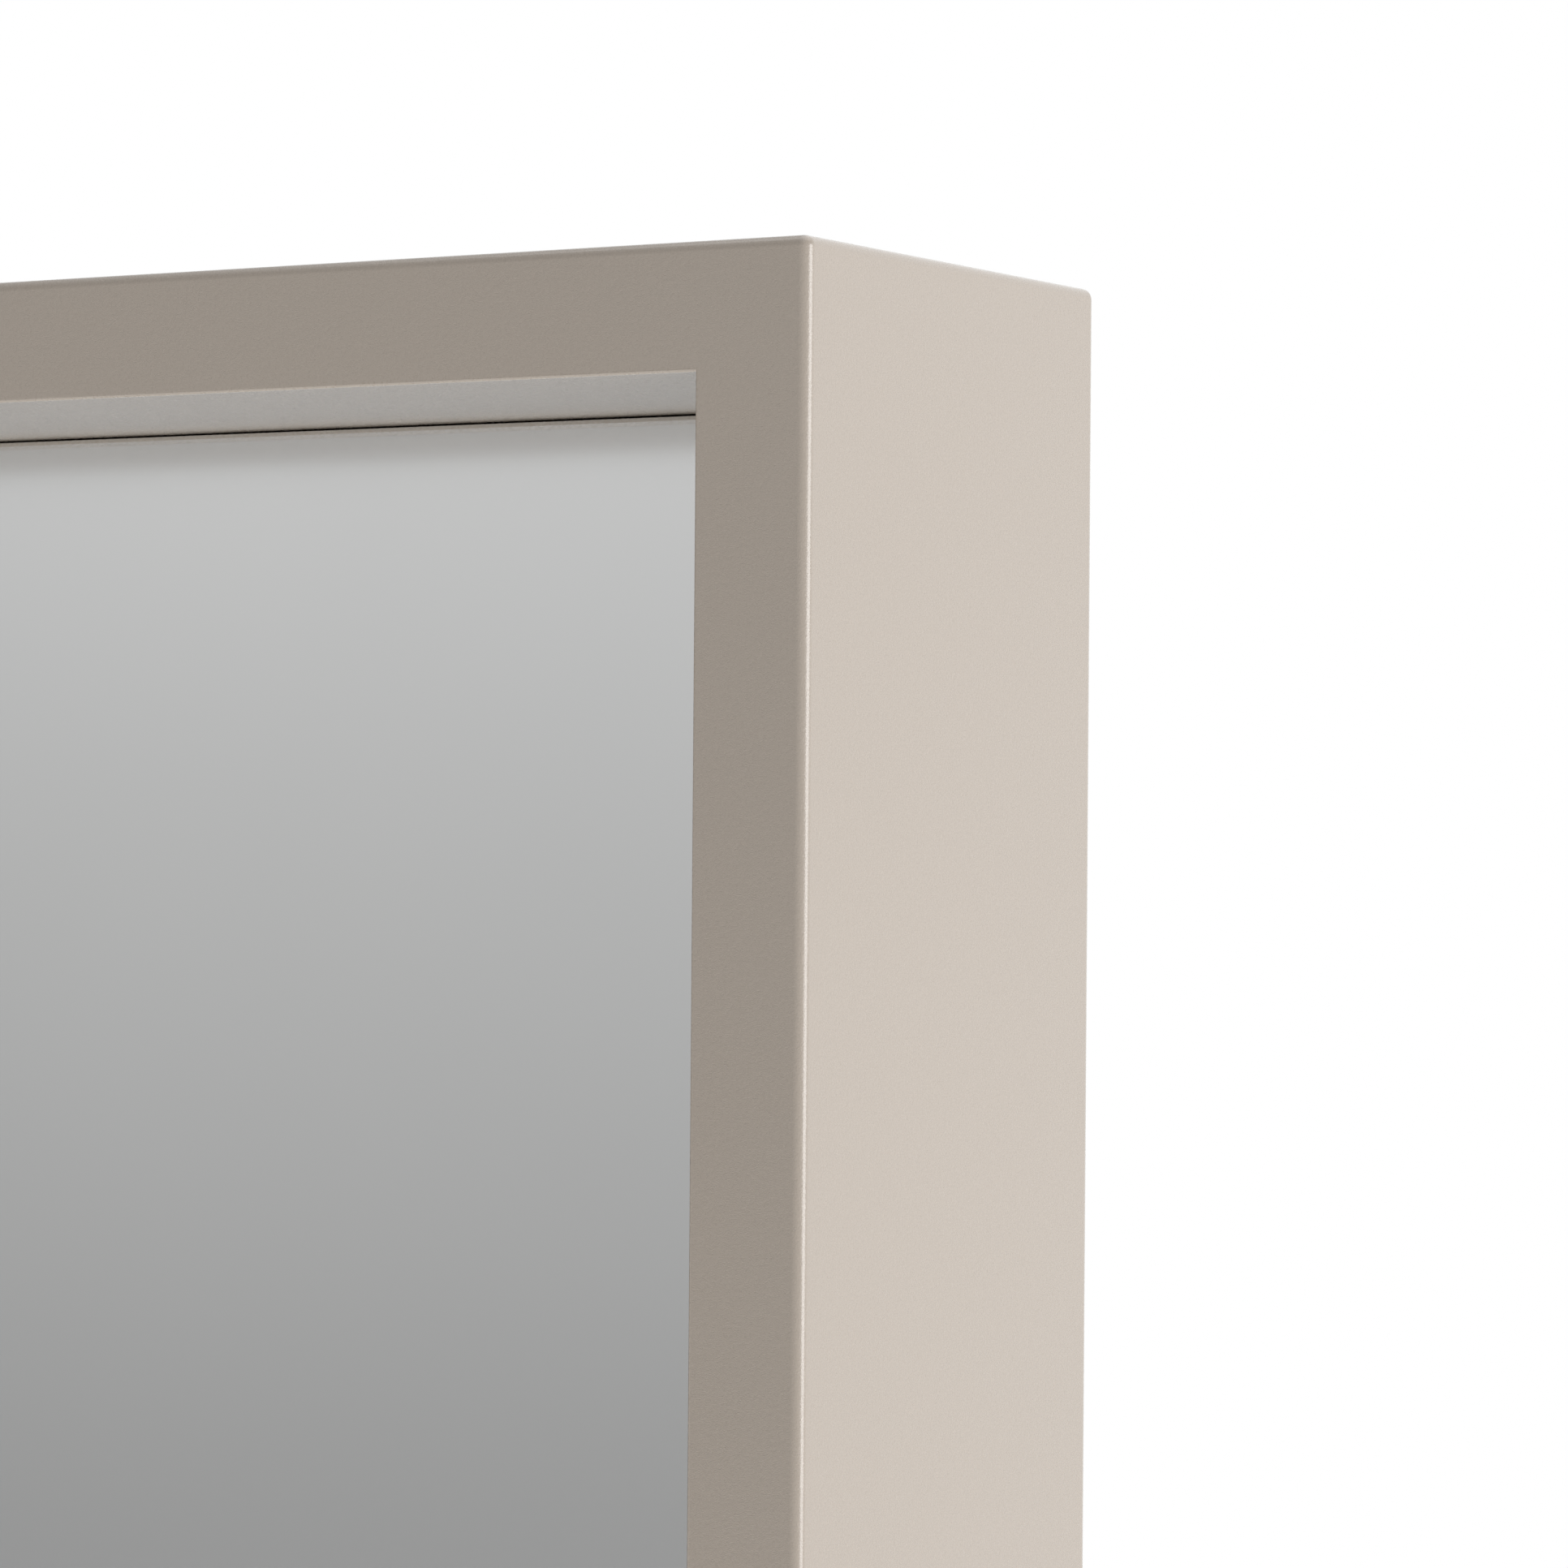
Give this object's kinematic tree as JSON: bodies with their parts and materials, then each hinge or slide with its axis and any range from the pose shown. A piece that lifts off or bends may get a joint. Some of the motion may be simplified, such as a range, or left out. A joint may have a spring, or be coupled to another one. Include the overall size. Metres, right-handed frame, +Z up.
{
  "type": "hanging wall cabinet",
  "caption": "Deep open-fronted wall cabinet in greige lacquer, with a recessed mirror back, a glass shelf and hidden adjustable hangers.",
  "frame": {"origin": "on the wall plane, midway between the four holes of the two wall plates: the point that the cabinet hangs from", "axes": "+X to the right as seen from the front, +Y into the wall, +Z up"},
  "size_m": [0.6, 0.14, 0.8],
  "materials": {
    "lacquered_board": "matte",
    "plywood": "matte",
    "raw_board": "matte",
    "rail_wood": "matte",
    "mirror": "polished",
    "foam_tape": "matte",
    "zinc_screw": "satin",
    "zinc_plate": "satin",
    "nickel": "satin",
    "clear_glass": "polished",
    "clear_pad": "gloss",
    "cap_plastic": "matte",
    "soft_rubber": "matte"
  },
  "bodies": {
    "wall_fixings": {"wall_plate_left": "zinc_plate", "wall_plate_right": "zinc_plate", "hanger_hook_left": "zinc_plate", "hanger_hook_right": "zinc_plate"},
    "cabinet": {"side_panel_left": "lacquered_board", "side_panel_right": "lacquered_board", "top_panel": "lacquered_board", "bottom_panel": "lacquered_board", "corner_splines": "plywood", "back_board": "raw_board", "mirror_glass": "mirror", "mirror_tapes": "foam_tape", "top_rail": "rail_wood", "bottom_rail": "rail_wood", "side_rail_left": "rail_wood", "side_rail_right": "rail_wood", "rail_screws": "zinc_screw", "board_screws": "zinc_screw", "housing_screws": "zinc_screw", "shelf_pins": "nickel", "pin_pads": "clear_pad", "pin_sleeves": "nickel", "access_caps": "cap_plastic", "wall_bumpers": "soft_rubber", "hanger_housing_left": "zinc_plate", "hanger_housing_right": "zinc_plate"},
    "height_screw_left": {"height_screw_left": "zinc_screw"},
    "height_screw_right": {"height_screw_right": "zinc_screw"},
    "shelf": {"glass_shelf": "clear_glass"}
  },
  "joints": [
    {"name": "height_adjust", "type": "slide", "parent": "wall_fixings", "child": "cabinet", "axis": [0, 0, 1], "range_m": [-0.005, 0.005]},
    {"name": "left_screw_turn", "type": "hinge", "parent": "cabinet", "child": "height_screw_left", "pos_m": [-0.22, -0.0112, 0.0741], "axis": [0, 0, 1], "range_deg": [-1800, 1800]},
    {"name": "right_screw_turn", "type": "hinge", "parent": "cabinet", "child": "height_screw_right", "pos_m": [0.22, -0.0112, 0.0741], "axis": [0, 0, 1], "range_deg": [-1800, 1800]},
    {"name": "shelf_slide", "type": "slide", "parent": "cabinet", "child": "shelf", "axis": [0, -1, 0], "range_m": [0, 0.11]}
  ],
  "couplings": [
    {"joint": "left_screw_turn", "follows": "height_adjust", "rad_per_m": 6283.2},
    {"joint": "right_screw_turn", "follows": "height_adjust", "rad_per_m": 6283.2}
  ]
}
